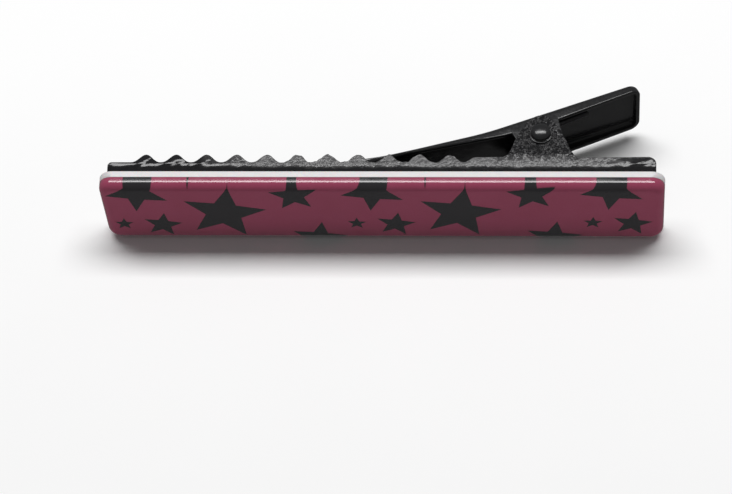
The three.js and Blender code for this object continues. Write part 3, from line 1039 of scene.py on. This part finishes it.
def spring_line():
    """The wire's centre line as (x, t, w) points, leg to leg, and the coil's half length."""
    lower = math.radians(LOWER_LEG_ANGLE)
    upper = math.radians(UPPER_LEG_ANGLE)
    full = 2 * math.pi
    enter = lower - math.pi / 2
    sweep = upper + math.pi / 2 - full - enter - WHOLE_TURNS * full
    half = abs(sweep) / full * COIL_PITCH / 2
    coil = []
    for k in range(COIL_STEPS + 1):
        share = k / COIL_STEPS
        angle = enter + sweep * share
        x = pivot_x + COIL_RADIUS * math.cos(angle)
        t = pivot_t + COIL_RADIUS * math.sin(angle)
        coil.append(Vector((x, t, 2 * half * share - half)))
    first, last = coil[0], coil[-1]
    rest = BASE_BACK + SHEET + SPRING_GAP + WIRE_RADIUS
    knee = Vector((first.x + (first.y - rest) / math.tan(-lower), rest, first.z))
    floor_end = Vector((LEFT + LOWER_LEG_END, rest, first.z))
    soft = soft_knee(knee, floor_end, first)
    upper_end = last + Vector((math.cos(upper), math.sin(upper), 0)) * UPPER_LEG_LENGTH
    legs_in = [floor_end.lerp(soft[0], k / 6) for k in range(6)]
    climb = [soft[-1].lerp(first, k / 8) for k in range(1, 8)]
    legs_out = [last.lerp(upper_end, k / 10) for k in range(1, 11)]
    return legs_in + soft + climb + coil + legs_out, half


def wire_rings(index, count):
    """(shift along the wire, radius) of each ring at a point: the cut ends have a small bevel."""
    if index == 0:
        return ((-0.06, WIRE_END_RADIUS), (0.02, WIRE_RADIUS))
    if index == count - 1:
        return ((-0.02, WIRE_RADIUS), (0.06, WIRE_END_RADIUS))
    return ((0.0, WIRE_RADIUS),)


def make_spring(material):
    line, half = spring_line()
    turns = [2 * math.pi * k / WIRE_SIDES for k in range(WIRE_SIDES)]
    points = []
    rings = []
    side = Vector((0, 0, 1))
    for index, here in enumerate(line):
        before = line[max(index - 1, 0)]
        after = line[min(index + 1, len(line) - 1)]
        along = (after - before).normalized()
        side = (side - along * side.dot(along)).normalized()
        other = along.cross(side)
        for shift, radius in wire_rings(index, len(line)):
            spokes = [side * math.cos(a) + other * math.sin(a) for a in turns]
            ring = [here + along * shift + spoke * radius for spoke in spokes]
            rings.append(add_ring(points, [place(p.x, p.y, p.z) for p in ring]))
    return add_piece("torsion_spring_wire", points, capped(rings), material), half


# ---------- stage ----------


def make_floor():
    floor = bmesh.new()
    bmesh.ops.create_grid(floor, x_segments=8, y_segments=8, size=1.6)
    mesh = bpy.data.meshes.new("studio_floor")
    floor.to_mesh(mesh)
    floor.free()
    obj = bpy.data.objects.new("studio_floor", mesh)
    obj.location.z = -0.02 * MM
    bpy.context.scene.collection.objects.link(obj)
    n = Surface("studio_floor")
    n.set(Base_Color=n.mix(n.noise(30), (0.95, 0.95, 0.95), (0.97, 0.97, 0.97)))
    n.set(Roughness=0.9, Specular_IOR_Level=0.1)
    mesh.materials.append(n.material)
    obj.visible_glossy = False


def make_camera():
    """The camera, from its aim point, how far it looks left, down and rolls, and its distance."""
    turn, down, roll = math.radians(-8.70), math.radians(56.0), math.radians(-7.07)
    distance = 0.388
    aim = Vector((-2.84, -8.58, -3.5)) * MM
    ahead = Vector((math.sin(turn) * math.cos(down), math.cos(turn) * math.cos(down), -math.sin(down)))
    level = Vector((math.cos(turn), -math.sin(turn), 0))
    over = level.cross(ahead)
    right = level * math.cos(roll) + over * math.sin(roll)
    upward = over * math.cos(roll) - level * math.sin(roll)
    data = bpy.data.cameras.new("camera")
    data.lens = 135.8
    data.sensor_width = 36.0
    data.clip_start = 0.01
    camera = bpy.data.objects.new("camera", data)
    turned = Matrix((right, upward, -ahead)).transposed()
    camera.matrix_world = Matrix.Translation(aim - ahead * distance) @ turned.to_4x4()
    bpy.context.scene.collection.objects.link(camera)
    bpy.context.scene.camera = camera


def make_softbox():
    """One wide soft light high behind the clip, which looks at the clip."""
    data = bpy.data.lights.new("top_softbox", "AREA")
    data.shape = "RECTANGLE"
    data.size = 0.9
    data.size_y = 0.26
    data.energy = 7.1
    light = bpy.data.objects.new("top_softbox", data)
    elevation = math.radians(71)
    distance = 0.8
    away = Vector((0.0, math.cos(elevation), math.sin(elevation)))
    light.location = away * distance
    light.rotation_mode = "QUATERNION"
    light.rotation_quaternion = away.to_track_quat("Z", "Y")
    bpy.context.scene.collection.objects.link(light)


def make_world():
    world = bpy.data.worlds.new("studio")
    world.use_nodes = True
    background = world.node_tree.nodes["Background"]
    background.inputs["Color"].default_value = (1, 1, 1, 1)
    background.inputs["Strength"].default_value = 0.14
    bpy.context.scene.world = world


# ---------- assembly ----------

make_camera()
make_floor()
make_world()
make_softbox()
bpy.context.scene.view_settings.view_transform = "Standard"

base_enamel = cast_enamel("base_enamel")
lever_enamel = enamel("lever_enamel", 0.2, 0.05)
pin_enamel = enamel("pin_enamel", 0.20, 0.08)

core = make_bar_core(white_plastic())
film = make_film(printed_film())
glue = make_adhesive(cured_glue())
base = make_base_jaw(base_enamel)
lever = make_lever_jaw(lever_enamel)
pin = make_pin(pin_enamel)
spring, coil_half = make_spring(spring_wire())

for piece in (core, film, base, lever, pin):
    even_normals(piece)

finishes = (
    (core, "base", "bar_core", "bar_plastic"),
    (film, "base", "printed_film", "printed_film"),
    (glue, "base", "adhesive_pad", "adhesive"),
    (base, "base", "base_jaw", "black_enamel"),
    (lever, "lever", "lever_jaw", "black_enamel"),
    (pin, "base", "pivot_pin", "black_enamel"),
)
for piece, body, node, slot in finishes:
    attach(piece, body)
    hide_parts(node)

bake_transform(spring)
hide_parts("torsion_spring")
